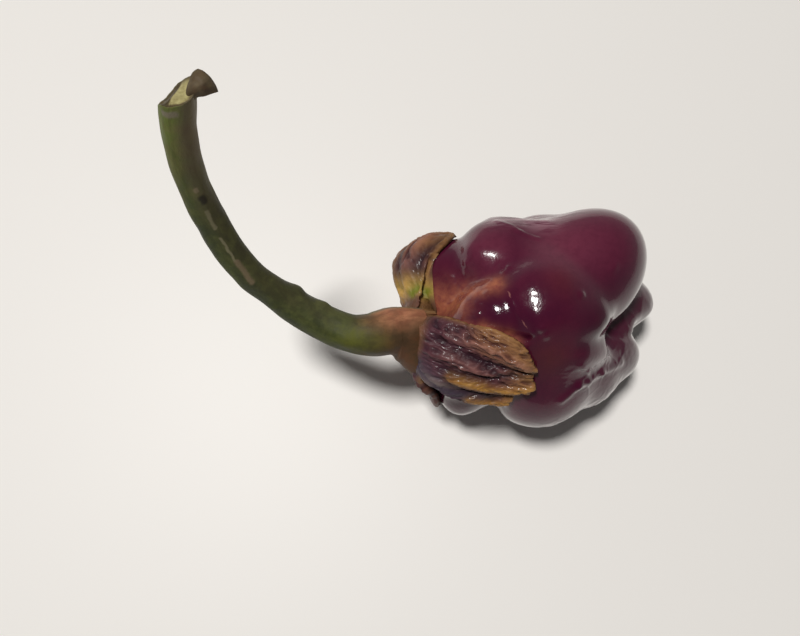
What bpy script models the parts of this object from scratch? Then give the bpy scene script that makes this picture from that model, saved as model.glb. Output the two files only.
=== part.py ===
"""A fresh chilli pepper lying on its side: a squat lobed pod, the leathery calyx that grips its shoulder,
and the curved stem that rises from it to a torn end.

The pod is star-shaped about its middle: a ray from the middle meets the skin once. So the skin is one
function, pod_reach, of the ray's direction, and the calyx is a shell laid over the same function.
Lengths are in millimetres from the pod's middle until SCALE turns them into metres.
"""

import bmesh
import bpy
import numpy as np
from mathutils import Vector

SCALE = 0.001
UP = np.array((0.0, 0.0, 1.0))

# The pod: a blunt body, and swollen lobes that reach out of it. Direction, reach and half-width.
BODY_RADII = (8.8, 10.2, 10.0)
LOBES = (
    ((0.72, 0.64, 0.31), 16.5, 7.3),  # the largest lobe, high on the far side of the blossom end
    ((0.20, 0.96, 0.10), 13.0, 6.8),  # the far side
    ((-0.52, 0.74, 0.42), 13.2, 6.2),  # the shoulder on the far side
    ((-0.88, 0.42, 0.00), 16.5, 6.2),  # the shoulder beneath the calyx's far lobe
    ((-0.55, -0.15, 0.80), 11.5, 5.8),  # the swelling on top, beside the calyx
    ((0.14, -0.03, 1.00), 11.0, 7.2),  # the crown
    ((-0.66, -0.70, -0.26), 15.2, 5.6),  # the shoulder on the near side
    ((-0.82, -0.46, 0.10), 15.0, 6.4),  # the shoulder beneath the calyx's longest lobe
    ((0.10, -0.95, -0.28), 13.4, 7.6),  # the near lobe
    ((0.70, -0.60, -0.42), 14.4, 6.4),  # the near lobe's run to the blossom end
    ((0.89, -0.26, -0.42), 16.4, 5.8),  # the near lobe at the blossom end
    ((0.93, 0.20, -0.35), 18.5, 6.0),  # the middle lobe at the blossom end
    ((0.62, 0.25, -0.75), 13.4, 7.4),  # the underside at the blossom end
    ((0.20, 0.84, -0.50), 12.8, 7.6),  # the far lobe underneath
    ((-0.62, 0.40, -0.60), 13.0, 7.0),  # the shoulder underneath
    ((-0.12, -0.02, -1.00), 12.8, 9.4),  # the belly it lies on
)
LOBE_BACK = 4.0  # how far each lobe's ellipsoid runs past the middle, away from its tip
LOBE_SHARPNESS = 1.5  # per mm: how tightly the creases between lobes fold
# Creases between lobes, and one raised fold: the directions they run between, height, and width in degrees.
CREASES = (
    ((16.0, 1.8, 0.4), (8.8, -3.2, 3.4), -1.7, 7.5),  # beneath the largest lobe's overhang
    ((8.8, -3.2, 3.4), (2.0, -5.0, 8.5), -0.5, 9.0),  # and on along its near side
    ((16.0, -0.6, -3.0), (12.0, 0.2, -10.0), -1.8, 6.5),  # between the two lobes at the blossom end
    ((-12.0, 3.0, 5.0), (-2.6, 3.2, 9.6), -0.6, 8.0),  # between the far shoulder and the top swelling
    ((-5.6, -11.4, 0.0), (-4.4, -9.4, -7.0), -1.4, 7.0),  # between the near shoulder and the near lobe
    ((4.0, 12.0, -1.0), (2.0, 7.0, -9.0), -0.7, 9.0),  # down the far side to the underside
    ((-4.6, 10.6, 4.6), (0.6, 9.0, 6.6), 0.45, 4.5),  # the raised fold at the edge of the far shoulder
)
POD_REST = 12.0  # from the middle down to the surface it lies on, which flattens it
POD_SUBDIVISIONS = 5

# The stem leaves the pod along this direction, the pole that the calyx spreads round.
POLE = (-0.955, -0.155, 0.250)

# The calyx's edge: azimuth round the pole, from the top towards the far side, and the angle from the pole,
# both in degrees. It parts over the bare shoulder on top, and nicks part its lobes elsewhere.
CALYX_EDGE = (
    (-165, 52), (-150, 55), (-138, 54), (-126, 48), (-118, 38), (-110, 26), (-99, 23), (-91, 27), (-89, 36),
    (-88, 46), (-86, 54), (-80, 60), (-70, 61), (-64, 68), (-59, 69), (-55, 66), (-50, 68), (-44, 65),
    (-34, 60), (-25, 51), (-19, 40), (-13, 29), (-2, 20), (20, 16), (58, 16), (73, 19), (76, 25), (77, 31),
    (78, 39), (80, 47), (88, 55), (98, 57), (108, 56), (120, 50), (130, 38), (138, 28), (146, 40),
    (156, 50), (172, 56), (184, 54),
)
CALYX_GAP = 0.3  # between the calyx and the pod's skin
CALYX_WALL = 0.9
CALYX_NECK_RADIUS = 3.3
CALYX_NECK_HEIGHT = 1.4
CALYX_FLARE = 28.0  # degrees from the neck's edge to where it has spread into the cap
CALYX_COLUMNS = 76
CALYX_RINGS = 11  # from the neck to the edge, outside and again inside

# The stem's own line, from its foot on the calyx's neck to its torn end, with its radius at each point.
STEM_START_GAP = 0.3
STEM_FOOT = 0.8  # the first stretch runs straight off the neck
STEM_ROUTE = (
    ((-17.6, -3.1, 4.8), 2.70),
    ((-19.6, -3.4, 5.3), 2.38),
    ((-21.8, -3.2, 5.7), 2.12),
    ((-24.4, -2.2, 6.2), 2.02),
    ((-27.7, -0.6, 7.8), 1.90),
    ((-29.6, 0.4, 9.7), 1.68),
    ((-31.5, 1.4, 12.5), 1.57),
    ((-32.9, 2.8, 15.4), 1.54),
    ((-33.9, 4.4, 18.6), 1.52),
    ((-34.4, 5.9, 22.2), 1.48),
    ((-34.4, 7.1, 25.8), 1.44),
    ((-34.0, 8.3, 29.0), 1.44),
    ((-33.4, 9.2, 31.2), 1.45),
    ((-32.7, 10.0, 33.4), 1.42),
)
STEM_POINTS = 44
STEM_BEVEL_RESOLUTION = 4
# The torn end: the stem is sheared off on a slant, and a tongue of dry bark stands out beside the tear.
TEAR_POINT = (-33.6, 9.0, 32.2)
TEAR_FACING = (-0.12, 0.05, 0.99)
TONGUE_OUTLINE = (
    (-1.5, -0.9), (-0.5, -1.3), (0.3, -0.9), (1.4, -0.7), (0.9, 0.3), (-0.1, 1.2), (-0.8, 0.6), (-1.4, 0.1),
)
TONGUE_MIDDLE = (-31.3, 9.9, 31.6)
TONGUE_THICKNESS = 0.6


def unit(vector):
    vector = np.asarray(vector, float)
    return vector / np.linalg.norm(vector)


POLE_DIRECTION = unit(POLE)
TOP_DIRECTION = unit(UP - (UP @ POLE_DIRECTION) * POLE_DIRECTION)
FAR_DIRECTION = np.cross(POLE_DIRECTION, TOP_DIRECTION)


def body_reach(directions):
    """How far a ray from the middle runs before it leaves the body."""
    return 1.0 / np.linalg.norm(directions / np.array(BODY_RADII), axis=1)


def lobe_reach(directions, axis, reach, half_width):
    """How far a ray from the middle runs before it leaves a lobe, an ellipsoid turned about its axis."""
    half_length = (reach + LOBE_BACK) / 2
    centre = (reach - LOBE_BACK) / 2
    cosine = directions @ unit(axis)
    square = (cosine / half_length) ** 2 + (1 - cosine**2) / half_width**2
    along = cosine * centre / half_length**2
    return (along + np.sqrt(along**2 + square * (1 - (centre / half_length) ** 2))) / square


def crease_height(directions, start, end, height, width):
    """The height of a crease or fold that runs between two directions, zero well away from it."""
    start, end = unit(start), unit(end)
    run = end - start
    along = np.clip((directions - start) @ run / (run @ run), 0, 1)
    nearest = start + along[:, None] * run
    nearest /= np.linalg.norm(nearest, axis=1)[:, None]
    away = np.degrees(np.arccos(np.clip((directions * nearest).sum(axis=1), -1, 1)))
    return height * np.exp(-((away / width) ** 2))


def pod_reach(directions):
    """The pod's radius along each direction: body and lobes, blended where they fold together, and creases."""
    reaches = np.array([body_reach(directions), *(lobe_reach(directions, *lobe) for lobe in LOBES)])
    swollen = np.log(np.exp(LOBE_SHARPNESS * reaches).sum(axis=0)) / LOBE_SHARPNESS
    return swollen + sum(crease_height(directions, *crease) for crease in CREASES)


def rested(points, lowest):
    """The points with those below the resting plane lifted onto it."""
    points = points.copy()
    points[:, 2] = np.maximum(points[:, 2], -lowest)
    return points


def smooth_route(points, count, closed=False):
    """Points on a Catmull-Rom curve through the given ones, as many on each stretch."""
    points = np.array(points, float)
    if closed:
        ends = np.vstack((points[-1], points, points[:2]))
    else:
        ends = np.vstack((2 * points[0] - points[1], points, 2 * points[-1] - points[-2]))
    spots = np.linspace(0, len(ends) - 3, count)
    at = np.minimum(spots.astype(int), len(ends) - 4)
    t = (spots - at)[:, None]
    a, b, c, d = ends[at], ends[at + 1], ends[at + 2], ends[at + 3]
    return 0.5 * (2 * b + (c - a) * t + (2 * a - 5 * b + 4 * c - d) * t**2 + (3 * b - a - 3 * c + d) * t**3)


def calyx_edge(around):
    """Azimuth and angle of the calyx's edge, in degrees, at shares of its length from 0 to 1."""
    azimuths, angles = np.array(CALYX_EDGE, float).T
    azimuths = np.radians(azimuths)
    line = smooth_route(np.stack((angles * np.cos(azimuths), angles * np.sin(azimuths)), axis=1), 1000, True)
    length = np.concatenate(([0.0], np.cumsum(np.linalg.norm(np.diff(line, axis=0), axis=1))))
    x, y = (np.interp(around * length[-1], length, line[:, axis]) for axis in range(2))
    return np.degrees(np.arctan2(y, x)), np.hypot(x, y)


def calyx_direction(azimuth, angle):
    """The unit vector at an azimuth round the pole and an angle from it, in degrees."""
    azimuth, angle = np.radians(azimuth), np.radians(angle)
    return (
        np.outer(np.cos(angle), POLE_DIRECTION)
        + np.outer(np.sin(angle) * np.cos(azimuth), TOP_DIRECTION)
        + np.outer(np.sin(angle) * np.sin(azimuth), FAR_DIRECTION)
    )


def neck_end():
    """How far the neck's flat end stands from the pod's middle along the pole."""
    return float(pod_reach(POLE_DIRECTION[None])[0]) + CALYX_GAP + CALYX_WALL + CALYX_NECK_HEIGHT


def calyx_points(around, across):
    """The calyx's surface. around runs from 0 to 1 along its edge. across runs from 0 at the neck's middle,
    out over the cap to 0.5 at the edge, and back under the cap to 1 beneath the neck."""
    azimuth, edge = calyx_edge(around)
    outer = across <= 0.5
    share = np.where(outer, 2 * across, 2 * (1 - across))
    neck_share = 1 / CALYX_RINGS
    neck_angle = np.degrees(np.arctan2(CALYX_NECK_RADIUS, neck_end()))
    past_neck = np.clip((share - neck_share) / (1 - neck_share), 0, 1)
    angle = neck_angle * np.minimum(share / neck_share, 1) + (edge - neck_angle) * past_neck
    direction = calyx_direction(azimuth, angle)
    inside = pod_reach(direction) + CALYX_GAP
    cap = inside + CALYX_WALL * (0.35 + 0.65 * np.sqrt(1 - past_neck**8))
    spread = np.clip((angle - neck_angle) / CALYX_FLARE, 0, 1)
    neck = neck_end() / np.cos(np.radians(np.minimum(angle, neck_angle)))
    outside = cap + (neck - cap) * (1 - spread) ** 3
    return direction * np.where(outer, outside, inside)[:, None]


def clear_scene():
    for obj in list(bpy.data.objects):
        bpy.data.objects.remove(obj)


def make_collection(name):
    collection = bpy.data.collections.new(name)
    bpy.context.scene.collection.children.link(collection)
    return collection


def make_material(name, colour, roughness):
    material = bpy.data.materials.new(name)
    material.use_nodes = True
    shader = material.node_tree.nodes["Principled BSDF"]
    shader.inputs["Base Color"].default_value = (*colour, 1.0)
    shader.inputs["Roughness"].default_value = roughness
    shader.inputs["Metallic"].default_value = 0.0
    return material


def add_object(name, mesh, material, collection, parent):
    mesh.materials.clear()
    mesh.materials.append(material)
    mesh.shade_smooth()
    obj = bpy.data.objects.new(name, mesh)
    obj.parent = parent
    collection.objects.link(obj)
    return obj


def move_vertices(bm, points):
    for vertex, point in zip(bm.verts, points * SCALE, strict=True):
        vertex.co = point


def finished_mesh(bm, name):
    bmesh.ops.recalc_face_normals(bm, faces=bm.faces)
    mesh = bpy.data.meshes.new(name)
    bm.to_mesh(mesh)
    bm.free()
    return mesh


def make_pod(material, collection, parent):
    """The whole fruit, solid, as a ball whose points are moved out to the skin."""
    bm = bmesh.new()
    bmesh.ops.create_icosphere(bm, subdivisions=POD_SUBDIVISIONS, radius=1.0)
    directions = np.array([vertex.co.normalized() for vertex in bm.verts])
    move_vertices(bm, rested(directions * pod_reach(directions)[:, None], POD_REST))
    return add_object("pod", finished_mesh(bm, "pod"), material, collection, parent)


def make_calyx(material, collection, parent):
    """The cap, neck and lobes in one: a flat grid rolled round the pole and closed at the seam."""
    bm = bmesh.new()
    bmesh.ops.create_grid(bm, x_segments=CALYX_COLUMNS, y_segments=2 * CALYX_RINGS, size=0.5)
    flat = np.array([vertex.co for vertex in bm.verts])
    points = calyx_points(flat[:, 0] + 0.5, flat[:, 1] + 0.5)
    move_vertices(bm, rested(points, POD_REST))
    bmesh.ops.remove_doubles(bm, verts=bm.verts, dist=1e-7)
    bmesh.ops.dissolve_degenerate(bm, edges=bm.edges, dist=1e-7)
    return add_object("calyx", finished_mesh(bm, "calyx"), material, collection, parent)


def curve_mesh(curve_object, name):
    """The evaluated curve as a mesh of its own, its caps welded and the curve removed."""
    bpy.context.view_layer.update()
    graph = bpy.context.evaluated_depsgraph_get()
    mesh = bpy.data.meshes.new_from_object(curve_object.evaluated_get(graph))
    mesh.name = name
    bm = bmesh.new()
    bm.from_mesh(mesh)
    bmesh.ops.remove_doubles(bm, verts=bm.verts, dist=1e-7)
    bm.to_mesh(mesh)
    bm.free()
    mesh.transform(curve_object.matrix_world)
    bpy.data.objects.remove(curve_object)
    return mesh


def stem_tube(collection):
    """The stem as a tube that thins and thickens along its line."""
    start = (neck_end() + STEM_START_GAP) * POLE_DIRECTION
    foot = [start, start + STEM_FOOT * POLE_DIRECTION]
    line = smooth_route([*foot, *(point for point, _ in STEM_ROUTE)], STEM_POINTS)
    foot_radii = [[CALYX_NECK_RADIUS], [CALYX_NECK_RADIUS - 0.1]]
    radii = smooth_route([*foot_radii, *([radius] for _, radius in STEM_ROUTE)], STEM_POINTS)
    curve = bpy.data.curves.new("stem_line", "CURVE")
    curve.dimensions = "3D"
    curve.bevel_depth = SCALE
    curve.bevel_resolution = STEM_BEVEL_RESOLUTION
    curve.use_fill_caps = True
    spline = curve.splines.new("POLY")
    spline.points.add(STEM_POINTS - 1)
    for spot, point, radius in zip(spline.points, line, radii[:, 0], strict=True):
        spot.co = (*(point * SCALE), 1.0)
        spot.radius = radius
    obj = bpy.data.objects.new("stem_line", curve)
    collection.objects.link(obj)
    return curve_mesh(obj, "stem")


def tongue_mesh(collection):
    """The tongue of dry skin: a flat outline with a little thickness."""
    curve = bpy.data.curves.new("tongue_outline", "CURVE")
    curve.dimensions = "2D"
    curve.fill_mode = "BOTH"
    curve.extrude = TONGUE_THICKNESS / 2 * SCALE
    spline = curve.splines.new("POLY")
    spline.points.add(len(TONGUE_OUTLINE) - 1)
    for spot, (x, y) in zip(spline.points, TONGUE_OUTLINE, strict=True):
        spot.co = (x * SCALE, y * SCALE, 0.0, 1.0)
    spline.use_cyclic_u = True
    obj = bpy.data.objects.new("tongue_outline", curve)
    obj.location = Vector(TONGUE_MIDDLE) * SCALE
    collection.objects.link(obj)
    return curve_mesh(obj, "tongue")


def make_helper(name, mesh, collection, parent):
    helper = bpy.data.objects.new(name, mesh)
    helper.parent = parent
    helper.hide_render = True
    helper.display_type = "WIRE"
    collection.objects.link(helper)
    return helper


def make_tear_block(collection, parent):
    """The block that shears the stem's end off on a slant."""
    side = 8.0 * SCALE
    bm = bmesh.new()
    bmesh.ops.create_cube(bm, size=side)
    block = make_helper("tear_block", finished_mesh(bm, "tear_block"), collection, parent)
    facing = Vector(unit(TEAR_FACING))
    block.location = Vector(TEAR_POINT) * SCALE + facing * side / 2
    block.rotation_euler = facing.to_track_quat("Z", "Y").to_euler()
    return block


def make_stem(material, collection, helpers, parent):
    stem = add_object("stem", stem_tube(collection), material, collection, parent)
    tear = stem.modifiers.new("tear", "BOOLEAN")
    tear.operation = "DIFFERENCE"
    tear.object = make_tear_block(helpers, parent)
    tongue = stem.modifiers.new("tongue", "BOOLEAN")
    tongue.operation = "UNION"
    tongue.object = make_helper("tongue", tongue_mesh(helpers), helpers, parent)
    return stem


def stand_on_origin(objects, parent):
    """Moves everything so that the middle of the bottom of the whole pepper's box is the origin."""
    bpy.context.view_layer.update()
    graph = bpy.context.evaluated_depsgraph_get()
    corners = []
    for obj in objects:
        evaluated = obj.evaluated_get(graph)
        mesh = evaluated.to_mesh()
        corners += [evaluated.matrix_world @ vertex.co for vertex in mesh.vertices]
        evaluated.to_mesh_clear()
    corners = np.array(corners)
    low, high = corners.min(axis=0), corners.max(axis=0)
    parent.location = (-(low[0] + high[0]) / 2, -(low[1] + high[1]) / 2, -low[2])


def main():
    clear_scene()
    pepper = make_collection("chilli_pepper")
    helpers = make_collection("cutters")
    middle = bpy.data.objects.new("pod_middle", None)
    pepper.objects.link(middle)
    skin = make_material("purple_skin", (0.105, 0.020, 0.045), 0.18)
    leather = make_material("calyx_leather", (0.120, 0.060, 0.055), 0.55)
    bark = make_material("stem_green", (0.055, 0.070, 0.022), 0.50)
    parts = [
        make_pod(skin, pepper, middle),
        make_calyx(leather, pepper, middle),
        make_stem(bark, pepper, helpers, middle),
    ]
    stand_on_origin(parts, middle)


main()
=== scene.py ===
"""A fresh purple chilli pepper lying on its side on a pale table: a squat, glossy, lobed pod, the leathery
calyx that grips its shoulder, and the curved stem that rises from the calyx to a torn end.

Each piece is worked out in millimetres from the pod's middle, as the CAD part is, and then set in its place.
"""

import bmesh
import bpy
import numpy as np
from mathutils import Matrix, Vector, noise


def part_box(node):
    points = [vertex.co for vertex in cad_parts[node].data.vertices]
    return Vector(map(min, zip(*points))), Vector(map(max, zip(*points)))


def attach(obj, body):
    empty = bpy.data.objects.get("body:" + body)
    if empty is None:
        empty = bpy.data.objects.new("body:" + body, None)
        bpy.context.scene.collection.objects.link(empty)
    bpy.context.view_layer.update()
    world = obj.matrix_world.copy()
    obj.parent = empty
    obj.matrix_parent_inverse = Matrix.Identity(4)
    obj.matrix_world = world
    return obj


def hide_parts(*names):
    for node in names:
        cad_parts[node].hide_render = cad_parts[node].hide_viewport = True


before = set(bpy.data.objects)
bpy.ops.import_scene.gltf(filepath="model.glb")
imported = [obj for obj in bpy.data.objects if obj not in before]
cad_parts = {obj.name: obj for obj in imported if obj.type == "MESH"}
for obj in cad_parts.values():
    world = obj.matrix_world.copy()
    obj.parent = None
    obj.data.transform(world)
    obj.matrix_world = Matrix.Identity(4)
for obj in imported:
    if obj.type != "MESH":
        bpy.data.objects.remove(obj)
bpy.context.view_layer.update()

# The pod is one fruit, lying on a flattened cheek. Its thin waxy skin is drawn in between swollen lobes, and
# it puckers where the flesh under it has begun to dry. It is made as one closed ball, swollen to the skin.
BODY_RADII = (8.8, 10.2, 10.0)
LOBES = (  # the direction, reach and half-width of each swelling
    ((0.72, 0.64, 0.31), 16.5, 7.3), ((0.20, 0.96, 0.10), 13.0, 6.8), ((-0.52, 0.74, 0.42), 13.2, 6.2),
    ((-0.88, 0.42, 0.00), 16.5, 6.2), ((-0.55, -0.15, 0.80), 11.5, 5.8), ((0.14, -0.03, 1.00), 11.0, 7.2),
    ((-0.66, -0.70, -0.26), 15.2, 5.6), ((-0.82, -0.46, 0.10), 15.0, 6.4), ((0.10, -0.95, -0.28), 13.4, 7.6),
    ((0.70, -0.60, -0.42), 14.4, 6.4), ((0.89, -0.26, -0.42), 16.4, 5.8), ((0.93, 0.20, -0.35), 18.5, 6.0),
    ((0.62, 0.25, -0.75), 13.4, 7.4), ((0.20, 0.84, -0.50), 12.8, 7.6), ((-0.62, 0.40, -0.60), 13.0, 7.0),
    ((-0.12, -0.02, -1.00), 12.8, 9.4),
)
LOBE_BACK = 4.0
LOBE_SHARPNESS = 1.5
CREASES = (  # start and end directions, height, and width in degrees
    ((16.0, 1.8, 0.4), (8.8, -3.2, 3.4), -1.7, 7.5), ((8.8, -3.2, 3.4), (2.0, -5.0, 8.5), -0.5, 9.0),
    ((16.0, -0.6, -3.0), (12.0, 0.2, -10.0), -1.8, 6.5), ((-12.0, 3.0, 5.0), (-2.6, 3.2, 9.6), -0.6, 8.0),
    ((-5.6, -11.4, 0.0), (-4.4, -9.4, -7.0), -1.4, 7.0), ((4.0, 12.0, -1.0), (2.0, 7.0, -9.0), -0.7, 9.0),
    ((-4.6, 10.6, 4.6), (0.6, 9.0, 6.6), 0.30, 4.5),
)
POD_REST = 12.0  # how far below its middle the pod's flat cheek lies, in mm
POD_SQUARES = 124  # along each side of the cube that is swollen into the pod
PUCKERS = (  # the small swellings and folds of the skin itself, given as the creases are
    ((0.06, 0.12, 0.99), (0.08, -0.26, 0.96), 0.34, 12.0),  # a low swelling along the crown
    ((-0.47, 0.12, 0.87), (-0.31, -0.34, 0.88), -0.26, 5.5),  # the dip beside it
    ((-0.90, 0.22, 0.37), (-0.25, 0.31, 0.92), 0.22, 8.0),  # the shallow hollow between the two shoulders
    ((-0.56, 0.78, 0.30), (-0.42, 0.80, 0.42), 0.08, 11.0),  # the far shoulder
    ((-0.20, 0.18, 0.96), (-0.13, -0.34, 0.93), 0.20, 8.5),  # the low ridge along the crown, highest at its ends
    ((-0.23, 0.18, 0.96), (-0.21, 0.20, 0.96), 0.24, 8.5),
    ((-0.14, -0.30, 0.94), (-0.13, -0.32, 0.94), 0.21, 8.0),
    ((-0.66, 0.42, 0.62), (-0.64, 0.46, 0.61), 0.66, 8.5),  # the rise in the middle of that shoulder
    ((-0.14, 0.78, 0.61), (0.06, 0.78, 0.62), 0.45, 10.0),  # the saddle behind it
    ((-0.78, -0.08, 0.62), (-0.76, -0.20, 0.62), 1.05, 12.0),  # the bare shoulder beside the calyx
    ((-0.36, 0.31, 0.88), (-0.22, 0.31, 0.92), 0.20, 6.0),  # the shallow end of the crease between the shoulders
    ((0.55, -0.20, 0.80), (0.20, -0.50, 0.85), 0.42, 9.0),  # the flank between the two largest swellings
    ((0.44, -0.58, 0.68), (0.80, -0.46, 0.40), 0.75, 10.0),
    ((0.70, -0.12, 0.70), (0.55, -0.30, 0.78), 0.35, 8.0),
    ((-0.42, 0.06, 0.91), (-0.28, -0.28, 0.92), 0.04, 0.9),  # an old scratch, healed proud
    ((-0.43, -0.37, 0.83), (-0.24, -0.45, 0.86), -0.20, 2.6),  # round the foot of the swelling by the calyx
    ((-0.24, -0.45, 0.86), (-0.12, -0.40, 0.90), -0.14, 2.4),
    ((-0.37, 0.76, 0.53), (-0.20, 0.68, 0.70), 0.10, 1.6),  # the far shoulder's fold
    ((-0.20, 0.68, 0.70), (-0.03, 0.65, 0.76), 0.10, 1.4),
    ((0.20, -0.93, 0.32), (0.38, -0.83, 0.40), 0.22, 2.6),  # the long pucker over the near lobe
    ((0.38, -0.83, 0.40), (0.69, -0.68, 0.25), 0.25, 2.6),
    ((0.69, -0.68, 0.25), (0.88, -0.47, 0.03), 0.25, 2.6),
    ((0.36, -0.68, 0.64), (0.48, -0.72, 0.50), 0.14, 2.0),
    ((0.48, -0.72, 0.50), (0.52, -0.80, 0.30), 0.12, 2.0),
    ((0.95, -0.26, 0.16), (0.98, -0.15, -0.10), -0.30, 2.4),  # the fold line at the blossom end
)
PIMPLES = (  # the places of small blisters on the skin
    (-0.72, 0.38, 0.58), (-0.75, 0.33, 0.57), (-0.86, 0.23, 0.46), (-0.84, 0.30, 0.44), (-0.82, 0.20, 0.53),
    (-0.38, 0.32, 0.87), (-0.43, 0.27, 0.86), (-0.45, 0.35, 0.82), (-0.63, -0.06, 0.77), (-0.64, -0.16, 0.75),
    (-0.66, -0.28, 0.70), (-0.58, -0.32, 0.75), (-0.57, 0.02, 0.82), (-0.10, -0.36, 0.93), (-0.17, -0.40, 0.90),
    (-0.05, -0.42, 0.91), (0.30, -0.02, 0.95), (0.62, 0.27, 0.74),
)
PIMPLE_HEIGHT = 0.16  # mm
PIMPLE_WIDTH = 2.3  # degrees


def unit(vector):
    vector = np.asarray(vector, float)
    return vector / np.linalg.norm(vector)


def body_reach(directions):
    return 1.0 / np.linalg.norm(directions / np.array(BODY_RADII), axis=1)


def lobe_reach(directions, axis, reach, half_width):
    half_length = (reach + LOBE_BACK) / 2
    centre = (reach - LOBE_BACK) / 2
    cosine = directions @ unit(axis)
    square = (cosine / half_length) ** 2 + (1 - cosine**2) / half_width**2
    along = cosine * centre / half_length**2
    return (along + np.sqrt(along**2 + square * (1 - (centre / half_length) ** 2))) / square


def stroke(directions, start, end, width):
    """1 on the line between two directions, fading to 0 over a width in degrees."""
    start, end = unit(start), unit(end)
    run = end - start
    along = np.clip((directions - start) @ run / (run @ run), 0, 1)
    nearest = start + along[:, None] * run
    nearest /= np.linalg.norm(nearest, axis=1)[:, None]
    away = np.degrees(np.arccos(np.clip((directions * nearest).sum(axis=1), -1, 1)))
    return np.exp(-((away / width) ** 2))


def pod_reach(directions):
    reaches = np.array([body_reach(directions), *(lobe_reach(directions, *lobe) for lobe in LOBES)])
    swollen = np.log(np.exp(LOBE_SHARPNESS * reaches).sum(axis=0)) / LOBE_SHARPNESS
    drawn_in = sum(height * stroke(directions, start, end, width) for start, end, height, width in CREASES)
    return swollen + drawn_in


def rested(points):
    points = points.copy()
    points[:, 2] = np.maximum(points[:, 2], -POD_REST)
    return points


def strokes(directions, lines):
    """The strongest of several strokes: start, end and width."""
    return np.max([stroke(directions, *line) for line in lines], axis=0)


def patches(directions, spots):
    """The strongest of several round patches: the middle, the width in degrees and the strength."""
    found = [strength * stroke(directions, middle, unit(middle) + 1e-4, width) for middle, width, strength in spots]
    return np.max(found, axis=0)


def ease(values, low, high):
    share = np.clip((values - low) / (high - low), 0, 1)
    return share * share * (3 - 2 * share)


def ball_of_squares(squares):
    """A cube cut into squares and blown up into a ball of radius 1."""
    bm = bmesh.new()
    bmesh.ops.create_cube(bm, size=2.0)
    bmesh.ops.subdivide_edges(bm, edges=bm.edges, cuts=squares - 1, use_grid_fill=True)
    flat = np.array([vertex.co for vertex in bm.verts])
    round_out = np.tan(flat * np.pi / 4)
    return bm, round_out / np.linalg.norm(round_out, axis=1)[:, None]


def plain_object(name, bm, points):
    """A smooth object with its points, given in mm from the pod's middle, set in their place."""
    for vertex, point in zip(bm.verts, (points + pod_middle) * 0.001, strict=True):
        vertex.co = point
    mesh = bpy.data.meshes.new(name)
    bm.to_mesh(mesh)
    bm.free()
    mesh.shade_smooth()
    obj = bpy.data.objects.new(name, mesh)
    bpy.context.scene.collection.objects.link(obj)
    return obj


def mark(obj, **layers):
    """Stores a number, or a vector, for every point of an object under each name."""
    for name, values in layers.items():
        kind, field = ("FLOAT", "value") if values.ndim == 1 else ("FLOAT_VECTOR", "vector")
        layer = obj.data.attributes.new(name, kind, "POINT")
        layer.data.foreach_set(field, values.astype(np.float32).ravel())


def new_tree(name, kind, inputs, outputs):
    """A node group with named inputs and outputs, and those sockets inside it."""
    tree = bpy.data.node_groups.new(name, kind)
    for way, sockets in (("INPUT", inputs), ("OUTPUT", outputs)):
        for label, socket in sockets.items():
            tree.interface.new_socket(label, in_out=way, socket_type="NodeSocket" + socket)
    return tree, tree.nodes.new("NodeGroupInput").outputs, tree.nodes.new("NodeGroupOutput").inputs


def add(tree, kind, inputs=(), **settings):
    """A node with its settings made, and its inputs set or linked."""
    node = tree.nodes.new(kind)
    for name, value in settings.items():
        setattr(node, name, value)
    for key, value in dict(inputs).items():
        if isinstance(value, bpy.types.NodeSocket):
            tree.links.new(value, node.inputs[key])
        else:
            node.inputs[key].default_value = value
    return node


def maths(tree, operation, *values):
    return add(tree, "ShaderNodeMath", enumerate(values), operation=operation).outputs[0]


def scaled(tree, vector, by):
    return add(tree, "ShaderNodeVectorMath", {0: vector, "Scale": by}, operation="SCALE").outputs[0]


def named_layer(tree, name, kind="FLOAT"):
    return add(tree, "GeometryNodeInputNamedAttribute", {"Name": name}, data_type=kind).outputs["Attribute"]


# How a drying skin moves off the smooth shape under it. The tree pushes each point along its normal, by
# stretched wrinkles, fine pebbling and a web of thin raised lines, each as strong as the layers say.
skin_relief, given, made = new_tree(
    "skin_relief", "GeometryNodeTree",
    {"Geometry": "Geometry", "Skin": "Material", "Wrinkle size": "Float", "Wrinkle depth": "Float",
     "Pebble size": "Float", "Pebble depth": "Float", "Web size": "Float", "Web depth": "Float",
     "Brush depth": "Float", "Crumple": "Float", "Seed": "Float"},
    {"Geometry": "Geometry"},
)
FOLD_TOP, FOLD_SLOPE = 0.8, -3.2  # how a smooth wrinkle is turned into a sharp fold
BRUSH_SIZE = 0.9
BRUSH_STRETCH = (0.16, 1.0, 1.0)
WEB_WARP = 1.3
WEB_THINNESS = 90.0
flow = named_layer(skin_relief, "flow", "FLOAT_VECTOR")


def relief_noise(size, seed_step, **settings):
    """Noise from -1 to 1, with features of a size in mm."""
    field = add(
        skin_relief, "ShaderNodeTexNoise",
        {"Vector": settings.pop("along", flow), "W": maths(skin_relief, "ADD", given["Seed"], seed_step),
         "Scale": maths(skin_relief, "DIVIDE", 1.0, size), **settings}, noise_dimensions="4D",
    )
    return maths(skin_relief, "MULTIPLY_ADD", field.outputs[0], 2.0, -1.0), field.outputs[1]


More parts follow.
